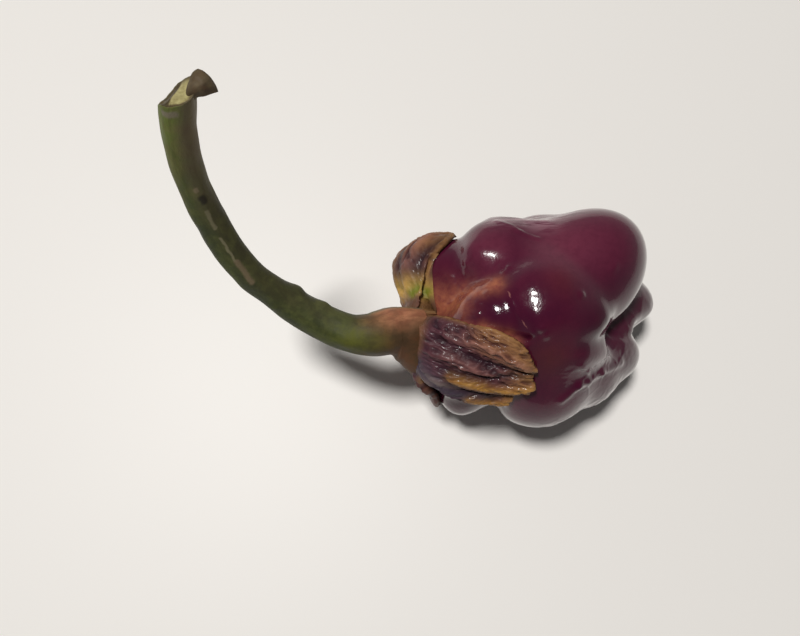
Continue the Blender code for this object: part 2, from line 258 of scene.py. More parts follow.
wrinkles, _ = relief_noise(given["Wrinkle size"], 0.0, Detail=2.5, Roughness=0.5, Distortion=0.5)
folded = maths(skin_relief, "MULTIPLY_ADD", maths(skin_relief, "ABSOLUTE", wrinkles), FOLD_SLOPE, FOLD_TOP)
wrinkles = add(skin_relief, "ShaderNodeMix", {0: given["Crumple"], 2: wrinkles, 3: folded}).outputs[0]
pebbles, _ = relief_noise(given["Pebble size"], 3.0, Detail=1.0, Roughness=0.5)
drawn_out = add(skin_relief, "ShaderNodeVectorMath", {0: flow, 1: BRUSH_STRETCH}, operation="MULTIPLY").outputs[0]
brushed, _ = relief_noise(BRUSH_SIZE, 7.0, Detail=2.0, Roughness=0.6, along=drawn_out)
_, warp = relief_noise(given["Web size"], 5.0, Detail=1.0)
warped = add(skin_relief, "ShaderNodeVectorMath",
             {0: flow, 1: scaled(skin_relief, warp, maths(skin_relief, "MULTIPLY", given["Web size"], WEB_WARP))},
             operation="ADD").outputs[0]
cells = add(skin_relief, "ShaderNodeTexVoronoi",
            {"Vector": warped, "Scale": maths(skin_relief, "DIVIDE", 1.0, given["Web size"])},
            feature="DISTANCE_TO_EDGE").outputs["Distance"]
web_line = maths(skin_relief, "MULTIPLY", maths(skin_relief, "POWER", cells, 2.0), -WEB_THINNESS)
web = maths(skin_relief, "EXPONENT", web_line)
wrinkled = named_layer(skin_relief, "wrinkled")
rough = maths(
    skin_relief, "ADD", maths(skin_relief, "MULTIPLY", wrinkles, given["Wrinkle depth"]),
    maths(skin_relief, "MULTIPLY", pebbles, given["Pebble depth"]),
)
web_height = maths(skin_relief, "MULTIPLY", maths(skin_relief, "MULTIPLY", web, given["Web depth"]),
                   named_layer(skin_relief, "webbed"))
brush_height = maths(skin_relief, "MULTIPLY", maths(skin_relief, "MULTIPLY", brushed, given["Brush depth"]),
                     named_layer(skin_relief, "brushed"))
height = maths(skin_relief, "ADD", maths(skin_relief, "MULTIPLY", rough, wrinkled),
               maths(skin_relief, "ADD", web_height, brush_height))
outwards = add(skin_relief, "GeometryNodeInputNormal").outputs["Normal"]
noted = add(skin_relief, "GeometryNodeStoreNamedAttribute",
            {"Geometry": given["Geometry"], "Name": "relief", "Value": rough})
raised = add(skin_relief, "GeometryNodeSetPosition", {
    "Geometry": noted.outputs[0],
    "Offset": scaled(skin_relief, outwards, maths(skin_relief, "MULTIPLY", height, 0.001)),
})
realised = add(skin_relief, "GeometryNodeRealizeInstances", {"Geometry": raised.outputs[0]})
covered = add(skin_relief, "GeometryNodeSetMaterial", {"Geometry": realised.outputs[0], "Material": given["Skin"]})
skin_relief.links.new(covered.outputs[0], made["Geometry"])


def grown(obj, tree, **values):
    """The object with a tree's result as its own plain mesh."""
    step = obj.modifiers.new(tree.name, "NODES")
    step.node_group = tree
    for socket in tree.interface.items_tree:
        label = socket.name.replace(" ", "_").lower()
        if socket.in_out == "INPUT" and label in values:
            step[socket.identifier] = values[label]
    bpy.context.view_layer.update()
    graph = bpy.context.evaluated_depsgraph_get()
    mesh = bpy.data.meshes.new_from_object(obj.evaluated_get(graph), preserve_all_data_layers=True, depsgraph=graph)
    obj.modifiers.clear()
    obj.data = mesh
    mesh.name = obj.name
    return obj


def tint(red, green, blue):
    """A colour of 0 to 255 steps, as the shaders take it."""
    steps = np.array((red, green, blue)) / 255
    return (*np.where(steps <= 0.04045, steps / 12.92, ((steps + 0.055) / 1.055) ** 2.4), 1.0)


def mixed(tree, share, first, second):
    return add(tree, "ShaderNodeMix", {0: share, 6: first, 7: second}, data_type="RGBA").outputs[2]


def painted(tree, under, over, mask, strength):
    """A colour laid over another where a mask is, at a strength."""
    return mixed(tree, maths(tree, "MULTIPLY", mask, strength), under, over)


def layer(tree, name, kind="Fac"):
    return add(tree, "ShaderNodeAttribute", attribute_name=name).outputs[kind]


# Blotches of pigment, shared by all three pieces, which on the pod also break up a painted sheen: soft-edged patches
# of a size in mm.
mottling, given, made = new_tree(
    "mottling", "ShaderNodeTree", {"Position": "Vector", "Patch": "Float", "Share": "Float", "Edge": "Float"},
    {"Mask": "Float"},
)
cloud = add(mottling, "ShaderNodeTexNoise", {
    "Vector": given["Position"], "Scale": maths(mottling, "DIVIDE", 1.0, given["Patch"]), "Detail": 5.0,
    "Roughness": 0.62, "Distortion": 0.3,
}).outputs[0]
level = maths(mottling, "SUBTRACT", 1.0, given["Share"])
blotch = add(mottling, "ShaderNodeMapRange", {
    "Value": cloud, "From Min": maths(mottling, "SUBTRACT", level, given["Edge"]),
    "From Max": maths(mottling, "ADD", level, given["Edge"]),
}, interpolation_type="SMOOTHSTEP").outputs[0]
mottling.links.new(blotch, made["Mask"])

# The finest relief, too small for the mesh: tiny pits and grains, as a height.
skin_grain, given, made = new_tree(
    "skin_grain", "ShaderNodeTree", {"Position": "Vector", "Grain": "Float", "Pits": "Float"}, {"Height": "Float"}
)
grains = add(skin_grain, "ShaderNodeTexNoise", {
    "Vector": given["Position"], "Scale": maths(skin_grain, "DIVIDE", 1.0, given["Grain"]), "Detail": 3.0,
}).outputs[0]
pits = add(skin_grain, "ShaderNodeTexVoronoi", {
    "Vector": given["Position"], "Scale": maths(skin_grain, "DIVIDE", 0.5, given["Grain"]),
}, feature="SMOOTH_F1").outputs["Distance"]
both = maths(skin_grain, "MULTIPLY_ADD", maths(skin_grain, "MINIMUM", pits, 0.5), given["Pits"], grains)
skin_grain.links.new(both, made["Height"])

# A scratch, scar or streak between two places, in mm, ragged at its sides.
scar_line, given, made = new_tree(
    "scar_line", "ShaderNodeTree", {"Position": "Vector", "Start": "Vector", "End": "Vector", "Width": "Float"},
    {"Mask": "Float"},
)


def vectors(tree, operation, first, second, output=0):
    return add(tree, "ShaderNodeVectorMath", {0: first, 1: second}, operation=operation).outputs[output]


shaken = add(scar_line, "ShaderNodeTexNoise", {"Vector": given["Position"], "Scale": 1.6, "Detail": 3.0}).outputs[1]
place = vectors(scar_line, "ADD", given["Position"],
                scaled(scar_line, vectors(scar_line, "SUBTRACT", shaken, (0.5, 0.5, 0.5)), 0.35))
from_start = vectors(scar_line, "SUBTRACT", place, given["Start"])
whole = vectors(scar_line, "SUBTRACT", given["End"], given["Start"])
share = add(scar_line, "ShaderNodeClamp", {
    "Value": maths(scar_line, "DIVIDE", vectors(scar_line, "DOT_PRODUCT", from_start, whole, 1),
                   vectors(scar_line, "DOT_PRODUCT", whole, whole, 1)),
}).outputs[0]
off_line = vectors(scar_line, "DISTANCE", from_start, scaled(scar_line, whole, share), 1)
line_mask = add(scar_line, "ShaderNodeMapRange", {
    "Value": off_line, "From Min": maths(scar_line, "MULTIPLY", given["Width"], 0.3), "From Max": given["Width"],
    "To Min": 1.0, "To Max": 0.0,
}, interpolation_type="SMOOTHSTEP").outputs[0]
scar_line.links.new(line_mask, made["Mask"])


def in_group(tree, group, **values):
    """What a shared effect puts out with these values."""
    return add(tree, "ShaderNodeGroup", {name.capitalize(): value for name, value in values.items()},
               node_tree=group).outputs[0]


def ramped(tree, value, low, high):
    """0 below one value and 1 above the other."""
    return add(tree, "ShaderNodeMapRange", {"Value": value, "From Min": low, "From Max": high}).outputs[0]


def grained(tree, position, grain, pits, depth):
    """The normal of a skin with the finest relief, whose depth is in mm."""
    height_value = in_group(tree, skin_grain, position=position, grain=grain, pits=pits)
    return add(tree, "ShaderNodeBump", {"Height": height_value, "Distance": depth * 0.001}).outputs[0]


pod_ball, pod_directions = ball_of_squares(POD_SQUARES)
smooth_reach = pod_reach(pod_directions)
plain_skin = rested(pod_directions * smooth_reach[:, None])
pod_middle = np.array((*(np.array(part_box("pod")[0])[:2] * 1000 - plain_skin.min(axis=0)[:2]), POD_REST))
puckered = sum(height * stroke(pod_directions, start, end, width) for start, end, height, width in PUCKERS)
puckered = puckered + PIMPLE_HEIGHT * patches(pod_directions, [(place, PIMPLE_WIDTH, 1.0) for place in PIMPLES])
skin_points = rested(pod_directions * (smooth_reach + puckered)[:, None])
pod = plain_object("pod_skin", pod_ball, skin_points)
free_skin = ease(skin_points[:, 2], -POD_REST, -POD_REST + 1.2)  # 0 on the cheek that the pod lies on
mark(
    pod,
    flow=skin_points,
    wrinkled=free_skin * (0.4 + patches(pod_directions, (
        ((-0.74, 0.34, 0.58), 9, 2.6), ((-0.86, 0.20, 0.46), 9, 2.8), ((-0.80, 0.05, 0.60), 8, 2.4),
        ((-0.64, -0.22, 0.73), 9, 2.4), ((-0.38, 0.30, 0.87), 7, 2.8), ((-0.14, -0.10, 0.98), 14, 1.0),
        ((0.30, -0.84, 0.44), 12, 1.2), ((0.72, -0.60, 0.33), 14, 1.4),
        ((0.93, -0.30, 0.0), 12, 1.2), ((0.30, 0.0, 0.95), 4, 0.8), ((-0.55, -0.80, -0.20), 16, 1.5),
    ))),
    webbed=free_skin * strokes(pod_directions, (
        ((0.36, -0.72, 0.56), (0.52, -0.80, 0.25), 9), ((0.52, -0.76, 0.35), (0.90, -0.40, 0.05), 9),
        ((0.98, -0.10, 0.02), (0.97, 0.15, -0.15), 8), ((0.2, -0.95, -0.1), (0.8, -0.55, -0.25), 10),
    )),
    # the brushed band near the far top edge is real relief, and is also where a pale painted sheen is laid on
    brushed=strokes(pod_directions, (
        ((-0.34, 0.80, 0.50), (0.10, 0.80, 0.58), 7), ((0.0, 0.90, 0.40), (0.30, 0.85, 0.42), 7),
    )),
    bronze=strokes(pod_directions, (
        ((-0.60, -0.30, 0.74), (-0.34, -0.48, 0.81), 4),
        ((-0.97, 0.02, 0.26), (-0.80, 0.02, 0.58), 11), ((-0.80, 0.07, 0.60), (-0.52, 0.12, 0.84), 6),
        ((-0.92, -0.12, 0.36), (-0.42, -0.42, 0.80), 5),
    )),
    # painted sheen: the upward-facing lobes lighter and rosier
    rosy=patches(pod_directions, (((0.20, 0.52, 0.83), 26, 1.0), ((-0.50, 0.52, 0.69), 16, 0.8))),
    brown=patches(pod_directions, (((0.02, -0.64, 0.76), 13, 0.6), ((0.10, 0.10, 0.98), 10, 0.4))),
    # painted shade: the pod is darker towards the bottom, where it turns from the lamp, and darker in one patch on
    # the right-hand lobe
    deep=np.maximum(
        ease(-skin_points[:, 2], -3.0, 7.0), patches(pod_directions, (((0.62, -0.25, 0.74), 16, 0.8),))
    ),
)

waxy_skin = bpy.data.materials.new("waxy_purple_skin")
waxy_skin.use_nodes = True
tree = waxy_skin.node_tree
skin = tree.nodes["Principled BSDF"]
position = scaled(tree, add(tree, "ShaderNodeTexCoord").outputs["Object"], 1000.0)
clouds = in_group(tree, mottling, position=position, patch=5.0, share=0.5, edge=0.16)
flecks = in_group(tree, mottling, position=position, patch=0.9, share=0.45, edge=0.16)
bronze_cloud = in_group(tree, mottling, position=position, patch=1.6, share=0.5, edge=0.2)
brush_marks = in_group(tree, mottling, position=vectors(tree, "MULTIPLY", position, (0.22, 1.3, 1.0)),
                       patch=0.8, share=0.5, edge=0.14)
purple, warm_purple, fleck_purple = tint(66, 14, 40), tint(78, 19, 44), tint(70, 18, 40)
rosy_purple, deep_purple, liver_brown = tint(108, 46, 66), tint(50, 10, 28), tint(96, 40, 34)
light_bronze, dark_bronze = tint(166, 98, 72), tint(142, 74, 62)
pale_graze, healed_brown = tint(206, 168, 178), tint(158, 104, 98)
colour = mixed(tree, clouds, purple, warm_purple)
# painted sheen, lighter and rosier on the upward-facing lobes
colour = mixed(tree, layer(tree, "rosy"), colour, rosy_purple)
# painted shade, darker towards the bottom of the pod
colour = mixed(tree, layer(tree, "deep"), colour, deep_purple)
colour = painted(tree, colour, liver_brown, layer(tree, "brown"), 0.7)
colour = painted(tree, colour, fleck_purple, flecks, 0.25)
colour = painted(tree, colour, mixed(tree, flecks, light_bronze, dark_bronze), layer(tree, "bronze"),
                 maths(tree, "MULTIPLY_ADD", bronze_cloud, 0.5, 0.65))
# painted sheen: pale streaks over the brushed band near the far top edge
colour = painted(tree, colour, pale_graze, layer(tree, "brushed"),
                 maths(tree, "MULTIPLY_ADD", brush_marks, 0.42, 0.05))
SCRATCH_REACH = 11.2  # how far from the pod's middle the scratch lies, in mm
scratch = in_group(tree, scar_line, position=position, width=0.12,
                   start=tuple(unit((-0.40, 0.04, 0.91)) * SCRATCH_REACH + pod_middle),
                   end=tuple(unit((-0.23, -0.34, 0.91)) * SCRATCH_REACH + pod_middle))
colour = painted(tree, colour, healed_brown, scratch, 0.65)
tree.links.new(colour, skin.inputs["Base Color"])
tree.links.new(maths(tree, "MULTIPLY_ADD", clouds, 0.06, 0.13), skin.inputs["Roughness"])
skin.inputs["Specular IOR Level"].default_value = 0.2
skin.inputs["Coat Weight"].default_value = 0.8
skin.inputs["Coat Roughness"].default_value = 0.035
skin.inputs["Coat IOR"].default_value = 1.39
tree.links.new(grained(tree, position, 0.22, 0.4, 0.012), skin.inputs["Normal"])

grown(pod, skin_relief, skin=waxy_skin, wrinkle_size=1.0, wrinkle_depth=0.022, pebble_size=0.45, pebble_depth=0.010,
      web_size=2.2, web_depth=0.045, brush_depth=0.11, seed=4.0)
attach(pod, "root")
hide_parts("pod")

# The calyx is the dried green cap of the flower: a leathery cup, ribbed along its lobes, that has shrunk and
# wrinkled on the pod's shoulder. It grew in one piece with the stem, whose foot stands on its short neck.
POLE_DIRECTION = unit((-0.955, -0.155, 0.250))  # from the pod's middle to the foot of the stem
TOP_DIRECTION = unit(np.array((0, 0, 1.0)) - POLE_DIRECTION[2] * POLE_DIRECTION)
FAR_DIRECTION = np.cross(POLE_DIRECTION, TOP_DIRECTION)
CALYX_EDGE = (  # azimuth round the pole and angle from it, in degrees
    (-165, 52), (-150, 55), (-138, 48), (-126, 42), (-118, 33), (-111, 23), (-98, 21), (-88, 26), (-84, 36),
    (-86, 46), (-87, 54), (-80, 60), (-70, 61), (-64, 68), (-59, 69), (-55, 66), (-50, 68), (-44, 65),
    (-34, 60), (-25, 51), (-19, 40), (-15, 30), (-6, 21), (8, 13.5), (28, 8.5),
    (60, 7), (84, 9.5), (86, 20), (79, 28), (76, 38), (79, 47), (88, 55), (98, 57), (108, 56), (120, 50),
    (130, 38), (138, 28), (146, 40), (156, 50), (172, 56), (184, 54),
)
CALYX_GAP = 0.3
CALYX_WALL = 0.9
CALYX_NECK_RADIUS = 3.3
CALYX_NECK_HEIGHT = 1.4
CALYX_NECK_LEAST = 0.7
CALYX_FLARE = 28.0  # over how many degrees the neck spreads into the cap
CALYX_NECK_SHARE = 1 / 11  # the share of the outside's rows that the neck takes
CALYX_COLUMNS = 560
CALYX_ROWS = 150
OUTSIDE_ROWS = 0.8  # the share of the rows that cover the outside
RIBS = (  # ridges and furrows along the lobes: azimuths and angles, height, width in degrees, and finish, where the furrows' dark finish is painted shade
    (((-24, 22), (-34, 38), (-41, 51), (-46, 62)), 0.42, 2.6, "pink"),
    (((-36, 12), (-39, 22), (-48, 34), (-50, 50), (-51, 66)), -0.42, 2.4, "dark"),
    (((-52, 12), (-49, 22), (-53, 30), (-56, 42), (-56, 50)), 0.40, 2.6, "pink"),
    (((-62, 16), (-61, 32), (-60, 44), (-55, 54), (-56, 66)), -0.38, 2.2, "dark"),
    (((-67, 30), (-68, 40), (-69, 49), (-66, 59), (-61, 69)), 0.42, 2.8, "gold"),
    (((-76, 30), (-77, 42), (-77, 51), (-72, 63)), -0.45, 2.2, "dark"),
    (((-84, 42), (-84, 53), (-78, 62)), 0.30, 2.6, "gold"),
    (((-82, 15), (-79, 25), (-76, 34)), 0.22, 1.3, "pale"),
    (((-100, 13), (-92, 19), (-86, 24)), 0.30, 1.5, "pale"),
    (((78, 13), (73, 26), (72, 36), (74, 44)), 0.28, 1.6, "tan"),
    (((88, 20), (81, 31), (79, 42), (84, 52)), -0.32, 2.4, "dark"),
    (((96, 20), (89, 32), (87, 46)), 0.30, 2.6, "pink"),
    (((108, 22), (100, 36), (98, 52)), -0.30, 2.6, "dark"),
    (((116, 22), (110, 38), (110, 52)), 0.30, 2.6, "tan"),
    (((150, 16), (158, 34), (164, 50)), 0.35, 3.0, "plain"),
    (((176, 16), (178, 34), (174, 52)), -0.30, 3.0, "dark"),
    (((-160, 16), (-158, 34), (-156, 52)), 0.35, 3.0, "plain"),
    (((-136, 16), (-140, 34), (-142, 48)), -0.25, 3.0, "dark"),
    (((-118, 10), (-116, 22), (-116, 32)), 0.25, 3.0, "plain"),
    (((-10, 6), (-8, 14), (-12, 26)), 0.25, 2.6, "plain"),
    (((132, 8), (134, 18), (136, 26)), 0.35, 3.0, "plain"),
    (((100, 26), (96, 50)), 0.30, 11.0, "plain"),
)


def smooth_route(points, count, closed=False):
    """Points on a Catmull-Rom curve through the given ones, as many on each stretch."""
    points = np.array(points, float)
    if closed:
        ends = np.vstack((points[-1], points, points[:2]))
    else:
        ends = np.vstack((2 * points[0] - points[1], points, 2 * points[-1] - points[-2]))
    spots = np.linspace(0, len(ends) - 3, count)
    at = np.minimum(spots.astype(int), len(ends) - 4)
    t = (spots - at)[:, None]
    a, b, c, d = ends[at], ends[at + 1], ends[at + 2], ends[at + 3]
    return 0.5 * (2 * b + (c - a) * t + (2 * a - 5 * b + 4 * c - d) * t**2 + (3 * b - a - 3 * c + d) * t**3)


def on_plan(azimuth, angle):
    """A place on the calyx's plan, where it is laid flat round the pole, in degrees."""
    azimuth = np.radians(azimuth)
    return np.stack((angle * np.cos(azimuth), angle * np.sin(azimuth)), axis=-1)


def calyx_edge(around):
    azimuths, angles = np.array(CALYX_EDGE, float).T
    line = smooth_route(on_plan(azimuths, angles), 1000, True)
    length = np.concatenate(([0.0], np.cumsum(np.linalg.norm(np.diff(line, axis=0), axis=1))))
    x, y = (np.interp(around * length[-1], length, line[:, axis]) for axis in range(2))
    return np.degrees(np.arctan2(y, x)), np.hypot(x, y)


def rough_numbers(points, size, seed):
    """Smooth noise from -1 to 1 at each point."""
    return np.array([noise.noise(Vector(point) / size + Vector((seed, 0, 0))) for point in points])


def distance_to_line(places, line):
    """How far each place is from a line through several points."""
    found = np.full(len(places), np.inf)
    for start, end in zip(line[:-1], line[1:]):
        run = end - start
        along = np.clip((places - start) @ run / (run @ run), 0, 1)
        found = np.minimum(found, np.linalg.norm(places - start - along[:, None] * run, axis=1))
    return found


neck_end = float(pod_reach(POLE_DIRECTION[None])[0]) + CALYX_GAP + CALYX_WALL + CALYX_NECK_HEIGHT
widest_neck = np.degrees(np.arctan2(CALYX_NECK_RADIUS, neck_end))
calyx_grid = bmesh.new()
bmesh.ops.create_grid(calyx_grid, x_segments=CALYX_COLUMNS, y_segments=CALYX_ROWS, size=0.5)
sheet = np.array([vertex.co for vertex in calyx_grid.verts])
around, row = sheet[:, 0] + 0.5, sheet[:, 1] + 0.5
outside = row <= OUTSIDE_ROWS
share = np.where(outside, row / OUTSIDE_ROWS, (1 - row) / (1 - OUTSIDE_ROWS))
azimuth, edge = calyx_edge(around)
edge_places = np.column_stack((on_plan(azimuth, edge), np.zeros(len(edge))))
ragged = 1.3 * rough_numbers(edge_places, 6.0, 1.0) + 0.8 * rough_numbers(edge_places, 2.2, 8.0)
edge = edge + ragged * np.clip((edge - 20) / 15, 0.3, 1.0)
bare_side = np.exp(-(((azimuth - 42) / 42) ** 2))  # where the lobes part and the neck all but vanishes
neck_angle = widest_neck * (1 - 0.68 * bare_side)
past_neck = np.clip((share - CALYX_NECK_SHARE) / (1 - CALYX_NECK_SHARE), 0, 1)
angle = neck_angle * np.minimum(share / CALYX_NECK_SHARE, 1) + (edge - neck_angle) * past_neck
plan = on_plan(azimuth, angle)
turned, leaned = np.radians(azimuth), np.radians(angle)
calyx_directions = (
    np.outer(np.cos(leaned), POLE_DIRECTION) + np.outer(np.sin(leaned) * np.cos(turned), TOP_DIRECTION)
    + np.outer(np.sin(leaned) * np.sin(turned), FAR_DIRECTION)
)
inside_reach = pod_reach(calyx_directions) + CALYX_GAP
cap = inside_reach + CALYX_WALL * (0.35 + 0.65 * np.sqrt(1 - past_neck**8))
spread = np.clip((angle - neck_angle) / CALYX_FLARE, 0, 1)
neck_drop = CALYX_NECK_HEIGHT * (1 - 0.9 * bare_side) - CALYX_NECK_LEAST
neck_rise = neck_drop * np.minimum(share / CALYX_NECK_SHARE, 1) ** 2 + CALYX_NECK_LEAST
neck = (neck_end - CALYX_NECK_HEIGHT + neck_rise) / np.cos(np.radians(np.minimum(angle, neck_angle)))
outside_reach = cap + (neck - cap) * (1 - spread) ** 3
rib_height = np.zeros(len(plan))
finishes = {name: np.zeros(len(plan)) for name in ("pink", "dark", "gold", "pale", "tan")}
for points, rise, width, finish in RIBS:
    line = smooth_route(on_plan(*np.array(points, float).T), 8 * len(points))
    nearness = np.exp(-((distance_to_line(plan, line) / width) ** 2))
    rib_height += rise * nearness
    if finish != "plain":
        finishes[finish] = np.maximum(finishes[finish], nearness * ease(angle, 14, 34))
on_cap = ease(angle, neck_angle + 1.0, neck_angle + 8.0)
rib_height *= on_cap * np.where(outside, 1.0, 0.0) * (1 - 0.5 * past_neck**12)
calyx_points = rested(calyx_directions * np.where(outside, outside_reach + rib_height, inside_reach)[:, None])
calyx = plain_object("calyx_cap", calyx_grid, calyx_points)
on_near_lobe = (azimuth > -113) & (azimuth < 20)
on_far_lobe = (azimuth >= 20) & (azimuth < 138)
underneath = ~(on_near_lobe | on_far_lobe)
lobe_axis = np.select([on_near_lobe, on_far_lobe], [-57.0, 90.0], 175.0)
away = np.radians(azimuth - lobe_axis)
lengthwise, crosswise = angle * np.cos(away) * 0.22, angle * np.sin(away) * 0.22
browned_side = ease(azimuth + 0.45 * angle, -30, -16) * ease(angle, 26, 42)


def on_cap_line(azimuths, angles, width):
    """1 on a line over the calyx, fading to 0 over a width in degrees."""
    return np.exp(-((distance_to_line(plan, on_plan(np.array(azimuths), np.array(angles))) / width) ** 2))


mark(
    calyx,
    flow=np.stack((lengthwise / 2.6, crosswise, lobe_axis / 10), axis=1),
    wrinkled=np.where(outside, 0.25 + 0.75 * on_cap, 0.0) * np.where(underneath, 0.5, 1.0),
    rim=past_neck**10 * np.where(underneath, 0.25, 1.0),
    # painted sheen: a grey-blue band low on the near lobe
    ash=on_cap_line((-90.0, -82.0, -80.0), (15.0, 30.0, 44.0), 5.2),
    dry_tip=np.select(
        [on_near_lobe, on_far_lobe],
        [0.8 * np.maximum(browned_side, ease(angle, 46, 62)), ease(angle, 27, 42)], 0.1,
    ),
    green=on_cap_line((92.0, 84.0), (17.0, 19.0), 2.2),
    straw=on_cap_line((122.0, 92.0, 72.0), (24.0, 20.0, 20.0), 5.0),
    hub=1 - ease(angle, neck_angle - 1, neck_angle + 3 + 10 * bare_side),
    **finishes,
)
# The grid is welded only now, so that every layer above still has a value for each of its points.
welder = bmesh.new()
welder.from_mesh(calyx.data)
bmesh.ops.remove_doubles(welder, verts=welder.verts, dist=1e-7)
bmesh.ops.dissolve_degenerate(welder, edges=welder.edges, dist=1e-7)
bmesh.ops.recalc_face_normals(welder, faces=welder.faces)
welder.to_mesh(calyx.data)
welder.free()

leather = bpy.data.materials.new("dry_calyx_leather")
leather.use_nodes = True
tree = leather.node_tree
skin = tree.nodes["Principled BSDF"]
position = scaled(tree, add(tree, "ShaderNodeTexCoord").outputs["Object"], 1000.0)
grain_way = layer(tree, "flow", "Vector")
streaky = in_group(tree, mottling, position=grain_way, patch=0.7, share=0.5, edge=0.14)
blotchy = in_group(tree, mottling, position=position, patch=1.8, share=0.5, edge=0.16)
crumbs = in_group(tree, mottling, position=position, patch=0.35, share=0.42, edge=0.1)
# the wrinkles' crests are painted paler, partly their own colour and partly painted light, and their pits darker as
# painted shade
crests = ramped(tree, layer(tree, "relief"), -0.02, 0.22)
pits = ramped(tree, layer(tree, "relief"), 0.0, -0.22)
young_purple, young_brown, young_crest = tint(40, 16, 32), tint(58, 28, 40), tint(126, 74, 84)
dried_red, dried_brown, dried_crest = tint(84, 44, 42), tint(118, 74, 48), tint(186, 134, 84)
red_streak, pink_rib = tint(84, 48, 46), tint(158, 108, 98)
tan_rib, pale_rib = tint(128, 92, 62), tint(152, 134, 126)
light_gold, dark_gold, rim_tan = tint(200, 150, 72), tint(150, 102, 40), tint(160, 118, 72)
ash_grey, furrow_brown, pit_brown = tint(66, 60, 74), tint(38, 16, 28), tint(36, 18, 24)
light_straw, dark_straw, leaf_green = tint(200, 160, 88), tint(154, 128, 62), tint(112, 120, 34)
hub_tan, hub_olive = tint(136, 96, 66), tint(98, 72, 44)
young = painted(tree, mixed(tree, blotchy, young_purple, young_brown), young_crest, crests, 0.4)
dried = painted(tree, mixed(tree, blotchy, dried_red, dried_brown), dried_crest, crests, 0.7)
gold = mixed(tree, streaky, light_gold, dark_gold)
straw = mixed(tree, blotchy, light_straw, dark_straw)
hub = mixed(tree, streaky, hub_tan, hub_olive)
colour = mixed(tree, layer(tree, "dry_tip"), young, dried)
colour = painted(tree, colour, red_streak, streaky, 0.25)
colour = painted(tree, colour, tan_rib, layer(tree, "tan"), 0.75)
colour = painted(tree, colour, pink_rib, layer(tree, "pink"), maths(tree, "MULTIPLY_ADD", crests, 0.5, 0.15))
# painted sheen, grey-blue, low on the near lobe
colour = painted(tree, colour, ash_grey, layer(tree, "ash"), 0.8)
colour = painted(tree, colour, gold, layer(tree, "gold"), maths(tree, "MULTIPLY_ADD", crumbs, 0.3, 0.7))
colour = painted(tree, colour, pale_rib, layer(tree, "pale"), 0.7)
# painted shade: the furrows darker
colour = painted(tree, colour, furrow_brown, layer(tree, "dark"), 0.85)
# painted shade in the pits of the wrinkles
colour = painted(tree, colour, pit_brown, pits, 0.8)
colour = painted(tree, colour, rim_tan, layer(tree, "rim"), maths(tree, "MULTIPLY_ADD", crests, 0.6, 0.35))
colour = painted(tree, colour, straw, layer(tree, "straw"), 0.9)
colour = painted(tree, colour, leaf_green, layer(tree, "green"), 0.9)
colour = painted(tree, colour, hub, layer(tree, "hub"), 0.8)
tree.links.new(colour, skin.inputs["Base Color"])
tree.links.new(maths(tree, "MULTIPLY_ADD", blotchy, 0.2, 0.38), skin.inputs["Roughness"])
skin.inputs["Specular IOR Level"].default_value = 0.2
skin.inputs["Coat Weight"].default_value = 0.16
skin.inputs["Coat Roughness"].default_value = 0.12
tree.links.new(grained(tree, position, 0.16, 0.8, 0.05), skin.inputs["Normal"])

grown(calyx, skin_relief, skin=leather, wrinkle_size=0.80, wrinkle_depth=0.32, pebble_size=0.30, pebble_depth=0.12,
      crumple=0.75, seed=11.0)
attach(calyx, "root")
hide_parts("calyx")

# The stem is one green, woody stalk that swells into a foot on the calyx's neck. It was torn off the plant:
# the end is sheared on a slant across its pale pith.
STEM_FOOT = (  # where the foot flares over the calyx's neck: how far out along the pole, and its radius
    (13.9, 2.35), (14.6, 2.45), (15.3, 2.55), (16.0, 2.62), (16.8, 2.66), (17.6, 2.70),
)
FOOT_TURNED = unit((0.02, -0.80, -0.60))  # the side that the foot flares out to
STEM_ROUTE = (  # the stem's own line, and its radius at each point
    ((-18.4, -3.2, 4.95), 2.60), ((-19.8, -3.4, 5.35), 2.38), ((-21.8, -3.2, 5.7), 2.12), ((-24.4, -2.2, 6.2), 2.02),
    ((-27.7, -0.6, 7.8), 1.90), ((-29.6, 0.4, 9.7), 1.68), ((-31.5, 1.4, 12.5), 1.57), ((-32.9, 2.8, 15.4), 1.54),
    ((-33.9, 4.4, 18.6), 1.52), ((-34.4, 5.9, 22.2), 1.48), ((-34.4, 7.1, 25.8), 1.44), ((-34.0, 8.3, 29.0), 1.44),
    ((-33.4, 9.2, 31.2), 1.45), ((-32.7, 10.0, 33.4), 1.42),
)
TEAR_POINT = np.array((-33.6, 9.0, 32.2))
TEAR_FACING = unit((-0.12, 0.05, 0.99))
TORN_LOW = unit((-0.80, 0.60, 0.0))  # the side where the tear runs furthest down
LIP_FACING = unit((2.03, -0.65))  # across the strip of bark that still stands beside the bare pith
LIP_AT = float(LIP_FACING @ (-33.78, 8.51))
ROUTE_STEPS = 900
STEM_COLUMNS = 112
STEM_ROWS = 470
PITH_ROWS = 22
FOOT_FLARE = 1.7  # how much wider the foot is at its turned side
TEAR_DROP = 1.5  # how far the tear runs down, in mm
PITH_DEPTH = 0.16
UNEVENNESS = 0.11
KNOBS = (  # small swellings: place, radius and height
    ((-31.2, 3.6, 12.0), 0.8, 0.16), ((-27.0, 1.0, 9.0), 0.9, 0.34), ((-24.2, -0.4, 7.6), 0.8, 0.26),
    ((-29.4, -1.4, 9.8), 0.7, 0.24), ((-34.6, 4.6, 20.4), 0.6, 0.08),
    ((-26.0, -1.4, 8.2), 0.9, 0.10), ((-22.0, -4.6, 7.0), 0.8, 0.10),
)
